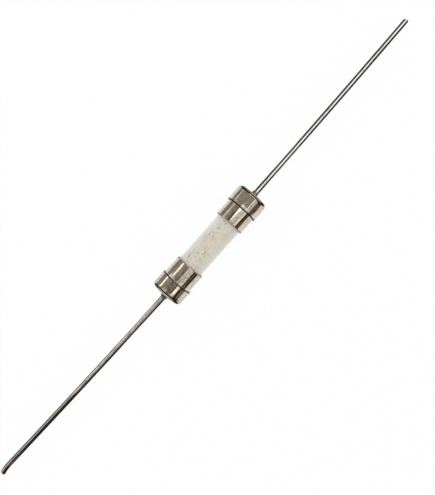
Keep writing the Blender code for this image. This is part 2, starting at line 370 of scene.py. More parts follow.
ray = add(sky, "ShaderNodeLightPath").outputs
seen = blend(sky, ray["Is Glossy Ray"], DOME, seen_in_metal)
seen = blend(sky, ray["Is Camera Ray"], seen, (1, 1, 1, 1))
background = add(sky, "ShaderNodeBackground", {"Color": seen})
add(sky, "ShaderNodeOutputWorld", {"Surface": background.outputs[0]})

# %% [markdown]
# ## The table
#
# A white sheet that the camera sees as white, and that still keeps the fuse's shadow. A
# purely diffuse sheet would need more light than the fuse can take, so for the camera
# most of the sheet glows at strength 1, the level of white, and the rest is lit and
# shaded. The round lead caps touch it along their lowest lines.
#
# In the metal the sheet is white only near the fuse's body. On the upper left side it
# ends 15 mm away. Lengthwise it ends in line with the lead caps, along lines that splay
# as the caps' own reflections do, so the caps see white paper and the wires do not. A
# short fan in front of each end stays white, for the rounded corners.

# %% Make the table
TABLE_SIDE = 3.0
TABLE_WHITE = (0.95, 0.95, 0.95, 1)
GLOW_SHARE = 0.95
SHEET_REACH = 15.0 * MM
SHEET_HALF_LENGTH = 11.4 * MM
SHEET_SPLAY = 0.148
SHEET_EDGE = 1.0 * MM
FAN_SPREAD = 0.4
FAN_START = -2.4 * MM
FAN_LENGTH = 23.0 * MM
TABLE_DROP = 0.005 * MM

shape = bmesh.new()
bmesh.ops.create_grid(shape, x_segments=1, y_segments=1, size=TABLE_SIDE / 2)
bmesh.ops.translate(shape, verts=shape.verts, vec=(0, 0, -LEAD_CAP_RADIUS - TABLE_DROP))
table_mesh = bpy.data.meshes.new("table")
shape.to_mesh(table_mesh)
shape.free()
table = bpy.data.objects.new("table", table_mesh)
scene.collection.objects.link(table)

paper = bpy.data.materials.new("white_paper")
paper.use_nodes = True
paper.node_tree.nodes.clear()
sheet = paper.node_tree
place = parts_of(sheet, add(sheet, "ShaderNodeTexCoord").outputs["Object"])
beside = remap(sheet, place["Y"], SHEET_REACH - SHEET_EDGE, SHEET_REACH + SHEET_EDGE)
lengthwise = calculate(sheet, 'ABSOLUTE', place["X"])
sideways = calculate(sheet, 'ABSOLUTE', place["Y"])
past_the_caps = calculate(sheet, 'SUBTRACT', lengthwise, times(sheet, sideways, SHEET_SPLAY))
beyond = remap(sheet, past_the_caps, SHEET_HALF_LENGTH, SHEET_HALF_LENGTH + SHEET_EDGE)
beside_the_fan = calculate(sheet, 'SUBTRACT', sideways, times(sheet, lengthwise, FAN_SPREAD))
off_the_fan = calculate(
    sheet, 'MAXIMUM',
    remap(sheet, beside_the_fan, FAN_START, FAN_START + SHEET_EDGE),
    remap(sheet, lengthwise, FAN_LENGTH, FAN_LENGTH + SHEET_EDGE))
beyond = times(sheet, beyond, off_the_fan)
in_metal = blend(sheet, beside, (1, 1, 1, 1), (*HORIZON, 1))
in_metal = blend(sheet, beyond, in_metal, (*NIGHT, 1))
ray = add(sheet, "ShaderNodeLightPath").outputs
glow_colour = blend(sheet, ray["Is Glossy Ray"], (1, 1, 1, 1), in_metal)
share = calculate(sheet, 'MAXIMUM', ray["Is Glossy Ray"],
                  times(sheet, ray["Is Camera Ray"], GLOW_SHARE))
lit = add(sheet, "ShaderNodeBsdfDiffuse", {"Color": TABLE_WHITE}).outputs[0]
glow = add(sheet, "ShaderNodeEmission", {"Color": glow_colour, "Strength": 1.0}).outputs[0]
mixed = add(sheet, "ShaderNodeMixShader", {0: share, 1: lit, 2: glow}).outputs[0]
add(sheet, "ShaderNodeOutputMaterial", {"Surface": mixed})
table_mesh.materials.append(paper)
print("table at", round(table_mesh.vertices[0].co.z / MM, 3), "mm")

# %% [markdown]
# ## One soft lamp
#
# The photograph has hardly any shadow, so its light came from all round. One large lamp
# from the upper left of the picture gives the ceramic a little form and the table a
# faint shadow. It is left out of reflections, where the world's cards do that work.

# %% Hang the lamp
LAMP_DISTANCE = 0.20
LAMP_SIDE = 0.14
LAMP_SHARE = 0.13
LAMP_LEFT = 0.4
LAMP_UP = 0.5
LAMP_ABOVE = 1.5

lamp_data = bpy.data.lights.new("soft_lamp", 'AREA')
lamp_data.shape = 'DISK'
lamp_data.size = LAMP_SIDE
lamp_data.energy = LAMP_SHARE * math.pi ** 2 * LAMP_DISTANCE ** 2
lamp = bpy.data.objects.new("soft_lamp", lamp_data)
scene.collection.objects.link(lamp)
lamp_side = image_up * LAMP_UP - image_right * LAMP_LEFT + Vector((0, 0, LAMP_ABOVE))
lamp_side.normalize()
lamp.location = lamp_side * LAMP_DISTANCE
lamp.rotation_mode = 'QUATERNION'
lamp.rotation_quaternion = lamp_side.to_track_quat('Z', 'Y')
lamp.visible_glossy = False
scene.view_settings.view_transform = 'Standard'
print("lamp power", round(lamp_data.energy, 4), "W")

# %% [markdown]
# ## Effects that several finishes share
#
# A shader node group is a small tool: it is built once and placed in each material with
# its own values. The first one makes the fine lines that drawing and wiping leave along
# the fuse. It squashes a noise pattern along X, so that each grain is drawn out into a
# line, whatever the piece.

# %% Group: lines along the axis
BROAD_LINES = 0.22
BROAD_DEPTH = 1.5


def new_group(name, inputs, outputs):
    """An empty node group with named float, vector or colour sockets."""
    group = bpy.data.node_groups.new(name, "ShaderNodeTree")
    for label, kind, value in inputs:
        socket = group.interface.new_socket(label, in_out='INPUT', socket_type="NodeSocket" + kind)
        if value is not None:
            socket.default_value = value
    for label, kind in outputs:
        group.interface.new_socket(label, in_out='OUTPUT', socket_type="NodeSocket" + kind)
    return group, add(group, "NodeGroupInput").outputs


def use(tree, group, **values):
    """Place a group in a material, with its own values."""
    return add(tree, "ShaderNodeGroup", values, node_tree=group).outputs


drawn_lines, given = new_group(
    "drawn_lines",
    [("Place", "Vector", None), ("Fineness", "Float", 9000.0), ("Length", "Float", 0.02)],
    [("Height", "Float"), ("Mask", "Float")])
stretch = add(drawn_lines, "ShaderNodeCombineXYZ", {"X": given["Length"], "Y": 1.0, "Z": 1.0})
squashed = add(drawn_lines, "ShaderNodeVectorMath", {
    0: given["Place"], 1: stretch.outputs[0]}, operation='MULTIPLY').outputs[0]
fine = grain_at(drawn_lines, squashed, given["Fineness"], 3.0, 0.6)
broad = grain_at(drawn_lines, squashed, times(drawn_lines, given["Fineness"], BROAD_LINES), 2.0)
height = total(drawn_lines, fine, (broad, BROAD_DEPTH))
mask = remap(drawn_lines, fine, 0.42, 0.64)
add(drawn_lines, "NodeGroupOutput", {"Height": height, "Mask": mask})
print("group made:", drawn_lines.name)

# %% [markdown]
# The second group makes clouds: soft patches for tarnish, stains and the ceramic's
# mottling. The third makes specks, by keeping only the peaks of a fine noise, and only
# where a cloud allows them, because real dirt comes in clusters.

# %% Groups: clouds and specks
clouds, given = new_group(
    "clouds",
    [("Place", "Vector", None), ("Scale", "Float", 600.0), ("Low", "Float", 0.45),
     ("High", "Float", 0.65)],
    [("Mask", "Float")])
pattern = grain_at(clouds, given["Place"], given["Scale"], 4.0, 0.55)
add(clouds, "NodeGroupOutput", {
    "Mask": remap(clouds, pattern, given["Low"], given["High"], curve='SMOOTHSTEP')})

specks, given = new_group(
    "specks",
    [("Place", "Vector", None), ("Scale", "Float", 4000.0), ("Peak", "Float", 0.62),
     ("Clusters", "Float", 500.0), ("Gaps", "Float", 0.5)],
    [("Mask", "Float")])
grains = grain_at(specks, given["Place"], given["Scale"], 2.0)
peaks = remap(specks, grains, given["Peak"], calculate(specks, 'ADD', given["Peak"], 0.06))
where = grain_at(specks, given["Place"], given["Clusters"], 2.0)
allowed = remap(specks, where, given["Gaps"], calculate(specks, 'ADD', given["Gaps"], 0.1))
add(specks, "NodeGroupOutput", {"Mask": times(specks, peaks, allowed)})
print("groups made:", clouds.name, specks.name)

# %% [markdown]
# ## Finishes
#
# Every finish starts the same way: a Principled shader, and the piece's Object
# coordinates, which are in metres here. The scales of the patterns are therefore grains
# per metre, and 1000 means one grain for each millimetre.

# %% A helper that starts a finish
def start_finish(name, roughness, metallic):
    material = bpy.data.materials.new(name)
    material.use_nodes = True
    tree = material.node_tree
    tree.nodes.clear()
    place = add(tree, "ShaderNodeTexCoord").outputs["Object"]
    shader = add(tree, "ShaderNodeBsdfPrincipled", {"Roughness": roughness, "Metallic": metallic})
    add(tree, "ShaderNodeOutputMaterial", {"Surface": shader.outputs[0]})
    return material, tree, place, shader


def dress(tree, shader, colour, roughness, height, depth):
    """Wire a finish's colour, roughness and relief into its shader."""
    bump = add(tree, "ShaderNodeBump", {"Height": height, "Strength": 1.0, "Distance": depth})
    tree.links.new(colour, shader.inputs["Base Color"])
    tree.links.new(roughness, shader.inputs["Roughness"])
    tree.links.new(bump.outputs[0], shader.inputs["Normal"])


# %% [markdown]
# ### Unglazed ceramic
#
# The tube is cream steatite with a dry, slightly sandy skin. Its colour drifts between
# cream, a faint olive and a faint pink, and handling has left grey scuffs along its top.
# The scuffs are kept to a band round the top by a mask on height, and to clusters by the
# specks group. Towards its flanks and underside the ceramic is painted paler: this is
# painted light, standing for the light that the white table throws up on to it.

# %% Ceramic finish
CREAM = (0.705, 0.650, 0.560, 1)
OLIVE = (0.620, 0.580, 0.405, 1)
PINKISH = (0.730, 0.635, 0.585, 1)
PAINTED_TABLE_LIGHT = (0.850, 0.825, 0.785, 1)
SCUFF = (0.25, 0.235, 0.20, 1)
# Dirt with painted shade, at the seams with the caps
DIRT_AND_SHADE = (0.060, 0.045, 0.030, 1)
SCUFFED_FROM = 1.0 * MM
SCUFFED_FULLY = 1.9 * MM
# Painted light: below the first height the tube is painted paler, below the second fully, for the
# table's bounce light
TABLE_LIGHT_FROM = 1.96 * MM
TABLE_LIGHT_FULL = 0.90 * MM

ceramic, tree, place, shader = start_finish("unglazed_ceramic", 0.6, 0.0)
shader.inputs["Sheen Weight"].default_value = 0.30
shader.inputs["Sheen Roughness"].default_value = 0.35
drift = use(tree, clouds, Place=place, Scale=380.0, Low=0.42, High=0.66)["Mask"]
blush = use(tree, clouds, Place=place, Scale=900.0, Low=0.50, High=0.72)["Mask"]
slanted = add(tree, "ShaderNodeMapping", {
    "Vector": place, "Rotation": (0, 0, math.radians(-35)), "Scale": (0.38, 1, 1)}).outputs[0]
strokes = use(tree, specks, Place=slanted, Scale=4200.0, Peak=0.545, Clusters=420.0, Gaps=0.46)
dots = use(tree, specks, Place=place, Scale=5200.0, Peak=0.59, Clusters=600.0, Gaps=0.44)
scuffs = calculate(tree, 'MAXIMUM', strokes["Mask"], dots["Mask"])
way = parts_of(tree, place)
near_the_top = remap(tree, way["Z"], SCUFFED_FROM, SCUFFED_FULLY)
yellower = remap(tree, way["X"], 6 * MM, -8 * MM, 0.35, 0.95)
pinker = remap(tree, way["Y"], -1 * MM, 2 * MM, 0.15, 0.75)
freckles = grain_at(tree, place, 2600.0, 3.0, 0.6)
colour = lay(
    tree, CREAM,
    (drift, yellower, OLIVE),
    (blush, pinker, PINKISH),
    (times(tree, scuffs, near_the_top), 0.65, SCUFF),
    (remap(tree, freckles, 0.48, 0.36), 0.22, SCUFF),
    # painted light: paler lower down, towards the flanks and underside, for the table's bounce light
    (remap(tree, way["Z"], TABLE_LIGHT_FROM, TABLE_LIGHT_FULL), 0.75, PAINTED_TABLE_LIGHT),
    # dirt with painted shade at the seams, where the caps' rims overhang the tube
    (read_mark(tree, "dirt_and_shade"), 0.8, DIRT_AND_SHADE))
grain = grain_at(tree, place, 9000.0, 4.0, 0.65)
dress(tree, shader, colour, remap(tree, grain, 0.3, 0.7, 0.52, 0.72), grain, 0.02 * MM)
print("finish made:", ceramic.name)

# %% [markdown]
# ### Nickel plate
#
# The caps are drawn brass with bright nickel on them. Nickel is a warm grey metal, so
# its Metallic is 1 and its colour is what it does to white light. The plating is smooth
# but not perfect: fine lines along the fuse, patches where it has dulled and turned
# yellowish, and places that have been rubbed bright. The caps carry four attributes:
# dirt with painted shade in the seams, dirt with painted shade on an open rim, a line of
# painted shade where the rounded corner starts, standing for the dark reflection there,
# and a scraped band beside the seams that also carries a painted highlight. The painted
# corner shade shows only on top of a cap, and the painted shade of a rim is weaker there
# than on the flanks.

# %% Nickel finish
NICKEL = (0.630, 0.580, 0.500, 1)
DULLED = (0.540, 0.470, 0.370, 1)
STAIN = (0.200, 0.150, 0.100, 1)
# Nickel rubbed bright; beside the seams the same colour is also a painted highlight
RUBBED_AND_HIGHLIGHT = (0.800, 0.770, 0.710, 1)
# Dirt with painted shade, for the seams, the rims and the corner line
SOOT_AND_SHADE = (0.030, 0.022, 0.015, 1)
# The painted corner shade shows only on top: it fades out below these heights
CORNER_SHADE_FADE = (2.0 * MM, 2.4 * MM, 0.1, 1.0)
# The rim's dirt and painted shade is full on the flanks and weaker on top
RIM_SHADE_FADE = (1.0 * MM, 1.8 * MM, 1.0, 0.3)

nickel, tree, place, shader = start_finish("nickel_plate", 0.12, 1.0)
lines = use(tree, drawn_lines, Place=place, Fineness=7000.0, Length=0.03)
patches = use(tree, clouds, Place=place, Scale=700.0, Low=0.48, High=0.70)["Mask"]
stains = use(tree, clouds, Place=place, Scale=1300.0, Low=0.60, High=0.70)["Mask"]
pits = use(tree, specks, Place=place, Scale=8000.0, Peak=0.62)["Mask"]
height_over_axis = parts_of(tree, place)["Z"]
# Painted shade: a dark line where a lead cap's rounded corner starts, for the dark reflection there,
# shown only on top
painted_corner_shade = times(tree, read_mark(tree, "painted_corner_shade"), remap(tree, height_over_axis, *CORNER_SHADE_FADE))
# Dirt with painted shade on the end caps' open rims, stronger on the flanks than on top
rim = times(tree, read_mark(tree, "rim"), remap(tree, height_over_axis, *RIM_SHADE_FADE))
# Dirt with painted shade in the seams, joined with the corner's painted shade and the rim's dirt and
# painted shade
dirt_and_shade = calculate(tree, 'MAXIMUM', read_mark(tree, "dirt_and_shade"),
                  calculate(tree, 'MAXIMUM', painted_corner_shade, rim))
mottle = grain_at(tree, place, 3800.0, 3.0, 0.7)
slanted = add(tree, "ShaderNodeMapping", {
    "Vector": place, "Rotation": (0, 0, math.radians(30)), "Scale": (0.22, 1, 1)}).outputs[0]
scratches = use(tree, specks, Place=slanted, Scale=5200.0, Peak=0.58, Clusters=800.0, Gaps=0.50)
# Wear with a painted highlight: a bright band beside the seams
seam_wear_and_highlight = times(tree, read_mark(tree, "wear_and_highlight"), remap(tree, mottle, 0.40, 0.55, 0.4, 1))
colour = lay(
    tree, NICKEL,
    (patches, 0.45, DULLED),
    (remap(tree, mottle, 0.47, 0.34), 0.55, STAIN),
    (remap(tree, mottle, 0.53, 0.64), 0.90, RUBBED_AND_HIGHLIGHT),
    (scratches["Mask"], 0.6, STAIN),
    (remap(tree, lines["Mask"], 0.55, 1.0), 0.25, STAIN),
    (stains, 0.6, STAIN),
    (pits, 0.5, STAIN),
    (seam_wear_and_highlight, 1.0, RUBBED_AND_HIGHLIGHT),
    (dirt_and_shade, 1.0, SOOT_AND_SHADE))
rough = total(tree, remap(tree, patches, 0, 1, 0.035, 0.07),
              (lines["Mask"], 0.02), (dirt_and_shade, 0.3), (seam_wear_and_highlight, 0.25))
peel = grain_at(tree, place, 5200.0, 2.0)
relief = total(tree, lines["Height"], (peel, remap(tree, patches, 0, 1, 0.3, 1.6)))
dress(tree, shader, colour, rough, relief, 0.0006 * MM)
print("finish made:", nickel.name)

# %% [markdown]
# ### Tinned copper
#
# The wires are copper, drawn to 0.8 mm and dipped in tin. Tin is greyer and softer than
# nickel, and it keeps the lines of the drawing die. The dark outlines of the wires are
# not painted: they are the dark cards and the dark part of the sheet. The left wire's
# root is stained by flux. Where the nippers cut a wire, the copper shows: the cut faces
# carry an attribute named cut, and the finish reads it.

# %% Tinned finish
TIN = (0.560, 0.530, 0.480, 1)
TIN_SHADOW = (0.420, 0.390, 0.340, 1)
TARNISH = (0.050, 0.045, 0.038, 1)
COPPER = (0.720, 0.380, 0.230, 1)
FLUX_STAIN_REACH = (-12.0 * MM, -11.5 * MM)

tinned, tree, place, shader = start_finish("tinned_copper", 0.25, 1.0)
lines = use(tree, drawn_lines, Place=place, Fineness=12000.0, Length=0.015)
patches = use(tree, clouds, Place=place, Scale=900.0, Low=0.45, High=0.68)["Mask"]
shader.inputs["Specular Tint"].default_value = (0.28, 0.27, 0.25, 1)
drawn_out = add(tree, "ShaderNodeMapping", {"Vector": place, "Scale": (0.25, 1, 1)}).outputs[0]
tarnished = use(tree, specks, Place=drawn_out, Scale=3200.0, Peak=0.53, Clusters=1200.0, Gaps=0.42)
to_the_right = parts_of(tree, place)["X"]
fluxed = times(tree, remap(tree, to_the_right, *FLUX_STAIN_REACH),
               calculate(tree, 'LESS_THAN', to_the_right, 0))
colour = lay(
    tree, TIN,
    (patches, 0.6, TIN_SHADOW),
    (tarnished["Mask"], 0.35, TARNISH),
    (fluxed, 0.7, TARNISH),
    (read_mark(tree, "cut"), 1.0, COPPER))
rough = total(tree, remap(tree, patches, 0, 1, 0.05, 0.09), (lines["Mask"], 0.04))
dress(tree, shader, colour, rough, lines["Height"], 0.0006 * MM)
print("finish made:", tinned.name)

# %% [markdown]
# ### Solder
#
# Solder sets with a satin, faintly crinkled skin. Burnt flux has turned all of the left
# fillet brown, and the outer part of the right one on its far side.

# %% Solder finish
SOLDER = (0.460, 0.440, 0.400, 1)
FLUX = (0.060, 0.045, 0.028, 1)
FAR_SIDE = (-0.20 * MM, 0.25 * MM)
OUTER_PART = (11.05 * MM, 11.30 * MM)

solder, tree, place, shader = start_finish("solder", 0.35, 1.0)
shader.inputs["Specular Tint"].default_value = (0.25, 0.24, 0.22, 1)
stains = use(tree, clouds, Place=place, Scale=1800.0, Low=0.38, High=0.58)["Mask"]
skin = grain_at(tree, place, 7000.0, 3.0)
way = parts_of(tree, place)
at_the_left = remap(tree, way["X"], 0, -1 * MM, 0, 0.8)
on_the_far_side = remap(tree, way["Y"], *FAR_SIDE, 0, 0.75)
far_out = remap(tree, way["X"], *OUTER_PART)
flux = calculate(tree, 'MAXIMUM', at_the_left, times(tree, on_the_far_side, far_out))
flux = calculate(tree, 'MAXIMUM', flux, times(tree, stains, 0.35))
colour = blend(tree, flux, SOLDER, FLUX)
rough = total(tree, remap(tree, skin, 0.3, 0.7, 0.24, 0.44), (flux, 0.35))
dress(tree, shader, colour, rough, skin, 0.010 * MM)
print("finish made:", solder.name)

# %% [markdown]
# ### What is sealed inside
#
# Nobody sees the sand and the element in a sound fuse, but they are part of the model,
# so they get a finish too: pale quartz grains, and silvered copper.

# %% Sand and silver finishes
QUARTZ = (0.74, 0.70, 0.62, 1)
DARK_GRAIN = (0.42, 0.37, 0.30, 1)
SILVER = (0.86, 0.84, 0.80, 1)
YELLOWED = (0.70, 0.62, 0.46, 1)

sand, tree, place, shader = start_finish("quartz_sand", 0.9, 0.0)
cells = add(tree, "ShaderNodeTexVoronoi", {"Vector": place, "Scale": 4500.0}).outputs
darker = remap(tree, add(tree, "ShaderNodeSeparateColor", {
    "Color": cells["Color"]}).outputs["Red"], 0.72, 0.9)
colour = blend(tree, darker, QUARTZ, DARK_GRAIN)
dress(tree, shader, colour, remap(tree, cells["Distance"], 0, 0.6, 0.75, 0.95),
      cells["Distance"], -0.05 * MM)

silver, tree, place, shader = start_finish("silvered_copper", 0.2, 1.0)
lines = use(tree, drawn_lines, Place=place, Fineness=20000.0, Length=0.02)
patches = use(tree, clouds, Place=place, Scale=1500.0, Low=0.5, High=0.7)["Mask"]
colour = lay(tree, SILVER, (patches, 0.5, YELLOWED))
dress(tree, shader, colour, remap(tree, lines["Mask"], 0, 1, 0.15, 0.3), lines["Height"], 0.001 * MM)
print("finishes made:", sand.name, silver.name)

# %% [markdown]
# ## Turning
#
# Nearly every piece of a fuse is turned or drawn, so it is round about one axis. A
# lathe in Blender is the spin operator: an outline of a few points, each at a place along
# the axis and a radius, is carried once round X and its last row is merged with its
# first. An outline that starts and ends on the axis makes a solid, and a closed outline
# makes a ring.

# %% The lathe
AROUND = 160
TOUCH = 1e-7


def turn(outline, around=AROUND):
    shape = bmesh.new()
    points = [shape.verts.new((along, 0, radius)) for along, radius in outline]
    edges = [shape.edges.new(pair) for pair in zip(points, points[1:])]
    if outline[0][1] > 0:
        edges.append(shape.edges.new((points[-1], points[0])))
    bmesh.ops.spin(shape, geom=points + edges, axis=(1, 0, 0), angle=2 * math.pi,
                   steps=around, use_merge=True)
    bmesh.ops.remove_doubles(shape, verts=shape.verts, dist=TOUCH)
    bmesh.ops.recalc_face_normals(shape, faces=shape.faces)
    return shape


# %% [markdown]
# The outlines are drawn with sharp corners, and the bevel operator then rounds them as
# a press or a file would: it is told which ring of edges to take by the ring's place
# along the axis and its radius.

# %% Rounding a ring of edges
def round_edges(shape, edges, size, steps):
    bmesh.ops.bevel(shape, geom=edges, offset=size, offset_type='OFFSET', segments=steps,
                    profile=0.5, affect='EDGES', material=-1)


def round_ring(shape, along, radius, size, steps):
    def on_ring(point):
        return (abs(point.co.x - along) < TOUCH * 10
                and abs(point.co.yz.length - radius) < TOUCH * 10)

    ring = [edge for edge in shape.edges if all(on_ring(point) for point in edge.verts)]
    round_edges(shape, ring, size, steps)


# %% [markdown]
# Real sheet metal is never perfectly round. A few thousandths of a millimetre of slow
# waviness is invisible as a shape, and yet it is what makes the bright stripes in a cap
# look like metal and not like a computer's cylinder. The long walls are first cut into
# short bands, to give the waves points to bend.

# %% Making a wall uneven
def cut_into_bands(shape, start, stop, count):
    for i in range(1, count):
        place = start + (stop - start) * i / count
        bmesh.ops.bisect_plane(shape, geom=shape.verts[:] + shape.edges[:] + shape.faces[:],
                               dist=TOUCH, plane_co=(place, 0, 0), plane_no=(1, 0, 0))


def make_uneven(shape, amount, size, seed, stretch=1.0):
    """Move each point in or out by slow noise, with waves of a given size and length."""
    shift = Vector((seed * 7.3, seed * 3.1, seed * 5.7))
    for point in shape.verts:
        radial = Vector((0, point.co.y, point.co.z))
        if radial.length > TOUCH:
            place = Vector((point.co.x / stretch, point.co.y, point.co.z)) / size
            point.co += radial.normalized() * noise.noise(place + shift) * amount


# %% [markdown]
# Where two pieces meet and on an open rim, the colour is darkened for dirt and dried flux
# and for the shade that falls in the step there: dirt with painted shade. On the line
# where a lead cap's rounded corner starts, a dark line of painted shade stands for the
# dark reflection in the corner. Beside the seams the plating is scraped where one cap was
# pressed over the other, and the bright band painted there is also a painted highlight.
# Each piece carries these lines as attributes, one for the seams, one for an open rim, one
# for the corner line and one for the band beside the seams: 1 on the line and fading to 0
# a little way off. The finishes read them.
# Fine bands are cut round each line first, so that the fade has points to live on.
#
# A line may also bow. It then runs inwards as the cap falls away from its top, more on
# one side than on the other, as the dark reflections in real cap corners do.

# %% Marking seams
FLAT_TOP = 1.6
BOW_LIMIT = 0.3 * MM
BOW_SHARE = 0.25
FADE_BANDS = 8
BOWED_BANDS = 16


def mark(shape, name, lines, bow=0.0):
    """Give the points an attribute, from (place along the axis, strength, width) lines."""
    bands = FADE_BANDS if bow == 0 else BOWED_BANDS
    for line, strength, width in lines:
        cut_into_bands(shape, line - width - min(abs(bow), BOW_LIMIT), line + width, bands)
    layer = shape.verts.layers.float.new(name)
    for point in shape.verts:
        drop = 1 - max(point.co.z, 0) / max(math.hypot(point.co.y, point.co.z), TOUCH)
        bent = abs(bow) * (1 if bow * point.co.y < 0 else BOW_SHARE)
        bowed = point.co.x + min(bent * drop, BOW_LIMIT)
        point[layer] = max(
            strength * min(FLAT_TOP * max(1 - abs(bowed - line) / width, 0), 1)
            for line, strength, width in lines)


# %% [markdown]
# ## Handing a piece over
#
# Each finished mesh becomes an object at the origin, smooth but with its edges kept. A
# piece of the left end is made like a right one and turned half round here. The object
# then takes its finish, rides on the body it moves with, and stands in for the imported
# solid of its name, which is hidden. A fuse has no moving parts, so every piece rides on
# the one body, root.

# %% From mesh to piece
SMOOTH_ANGLE = math.radians(40)


def hand_over(shape, name, finish):
    if name.endswith("_left"):
        bmesh.ops.rotate(shape, verts=shape.verts, matrix=Matrix.Rotation(math.pi, 3, 'Z'))
    mesh = bpy.data.meshes.new(name + "_fine")
    shape.to_mesh(mesh)
    shape.free()
    mesh.shade_smooth()
    mesh.set_sharp_from_angle(angle=SMOOTH_ANGLE)
    mesh.materials.append(finish)
    piece = bpy.data.objects.new(name + "_fine", mesh)
    scene.collection.objects.link(piece)
    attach(piece, "root")
    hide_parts(name)
    print(name, "has", len(mesh.polygons), "faces")
    return piece


# %% [markdown]
# ## The ceramic tube
#
# A plain tube, extruded and cut off before firing. Its ends are hidden in the caps, but
# their edges are rounded all the same, as a fired edge is.

# %% Ceramic tube
BORE_RADIUS = 1.3 * MM
FIRED_EDGE = 0.12 * MM
EDGE_STEPS = 4
# Dirt with painted shade on the tube next to the end caps' rims
TUBE_DIRT_AND_SHADE = 0.15
TUBE_DIRT_AND_SHADE_WIDTH = 0.10 * MM
TUBE_BANDS = 40
TUBE_WAVE = (0.008 * MM, 3.0 * MM)

tube_half = ends_of("ceramic_tube")[1]
shape = turn([(tube_half, BORE_RADIUS), (tube_half, TUBE_RADIUS),
              (-tube_half, TUBE_RADIUS), (-tube_half, BORE_RADIUS)])
for end in (tube_half, -tube_half):
    round_ring(shape, end, TUBE_RADIUS, FIRED_EDGE, EDGE_STEPS)
cut_into_bands(shape, -tube_half, tube_half, TUBE_BANDS)
tube_seam = ends_of("end_cap_right")[0]
# Dirt with painted shade: the tube darkens next to the end caps' rims, where their shade falls
mark(shape, "dirt_and_shade", [(tube_seam, TUBE_DIRT_AND_SHADE, TUBE_DIRT_AND_SHADE_WIDTH),
                      (-tube_seam, TUBE_DIRT_AND_SHADE, TUBE_DIRT_AND_SHADE_WIDTH)])
make_uneven(shape, *TUBE_WAVE, seed=1)
hand_over(shape, "ceramic_tube", ceramic)

# %% [markdown]
# ## The caps
#
# Both kinds of cap are drawn cups: a disc of sheet pushed through a die. That leaves an
# even wall, a large soft corner at the closed end and a small rounded lip at the open
# one. The end caps are closed, and the lead caps have a hole for their wire.

# %% A drawn cup
LIP = 0.11 * MM
LIP_STEPS = 4
CORNER_STEPS = 12
CUP_BANDS = 24


def cup(rim, face, radius, wall, corner, hole):
    floor = face - wall
    bore = radius - wall
    shape = turn([(face, hole), (face, radius), (rim, radius),
                  (rim, bore), (floor, bore), (floor, hole)])
    round_ring(shape, face, radius, corner, CORNER_STEPS)
    round_ring(shape, floor, bore, corner - wall, CORNER_STEPS)
    round_ring(shape, rim, radius, LIP, LIP_STEPS)
    round_ring(shape, rim, bore, LIP / 2, LIP_STEPS)
    cut_into_bands(shape, rim, face, CUP_BANDS)
    return shape


# %% [markdown]
# The rim of a cap is cut by a die, and a worn die leaves a burr: over a few degrees of
# the rim the metal stands up a little.

# %% Raising a burr
BURR_HEIGHT = 0.10 * MM
BURR_LENGTH = 0.12 * MM
BURR_SPREAD = 0.45 * MM


def raise_burr(shape, rim, side):
    """Lift the rim where it faces +Y (side 1) or -Y (side -1), fading on all sides."""
    for point in shape.verts:
        away = abs(point.co.x - rim)
        if away > BURR_LENGTH or side * point.co.y < 0:
            continue
        along = 1 - away / BURR_LENGTH
        across = max(1 - abs(point.co.z) / BURR_SPREAD, 0)
        point.co.y += side * BURR_HEIGHT * along * across


# %% [markdown]
# The four caps differ in their sizes, their chance waves and how strong their lines are.
# The left end of the fuse is the right one turned half round, as it is on the real thing,
# where both ends come from the same tools.

# %% End caps and lead caps
END_CAP_WALL = 0.325 * MM
END_CAP_CORNER = 0.50 * MM
LEAD_CAP_WALL = 0.21 * MM
LEAD_CAP_CORNER = 0.60 * MM
WIRE_HOLE = 0.465 * MM
RIM_WIDTH = 0.20 * MM
SEAM_WIDTH = 0.16 * MM
SEAM_SHIFT = 0.08 * MM
# The corner line is painted shade: where it lies from the cap's face, how wide it is and how it bows
CORNER_LINE = {"left": 0.48 * MM, "right": 0.42 * MM}
CORNER_LINE_WIDTH = 0.20 * MM
CORNER_LINE_BOW = {"left": -1.2 * MM, "right": 1.2 * MM}
# The band beside the seams is wear with a painted highlight
WEAR_AND_HIGHLIGHT_WIDTH = 0.10 * MM
END_CAP_WEAR_AND_HIGHLIGHT_AT = 0.16 * MM
LEAD_CAP_WEAR_AND_HIGHLIGHT_AT = 0.46 * MM
END_CAP_WEAR_AND_HIGHLIGHT = {"left": 1.0, "right": 0.2}
LEAD_CAP_WEAR_AND_HIGHLIGHT = {"left": 0.2, "right": 0.9}
# Dirt with painted shade along the lead caps' rims
LEAD_CAP_DIRT_AND_SHADE = {"left": 0.9, "right": 1.0}
# Dirt with painted shade on the end caps' open rims
RIM_DIRT_AND_SHADE = 0.9
CAP_WAVE = 0.006 * MM
END_CAP_WAVE_LENGTH = 1.6 * MM
LEAD_CAP_WAVE_LENGTH = 1.8 * MM
WAVE_STRETCH = 4

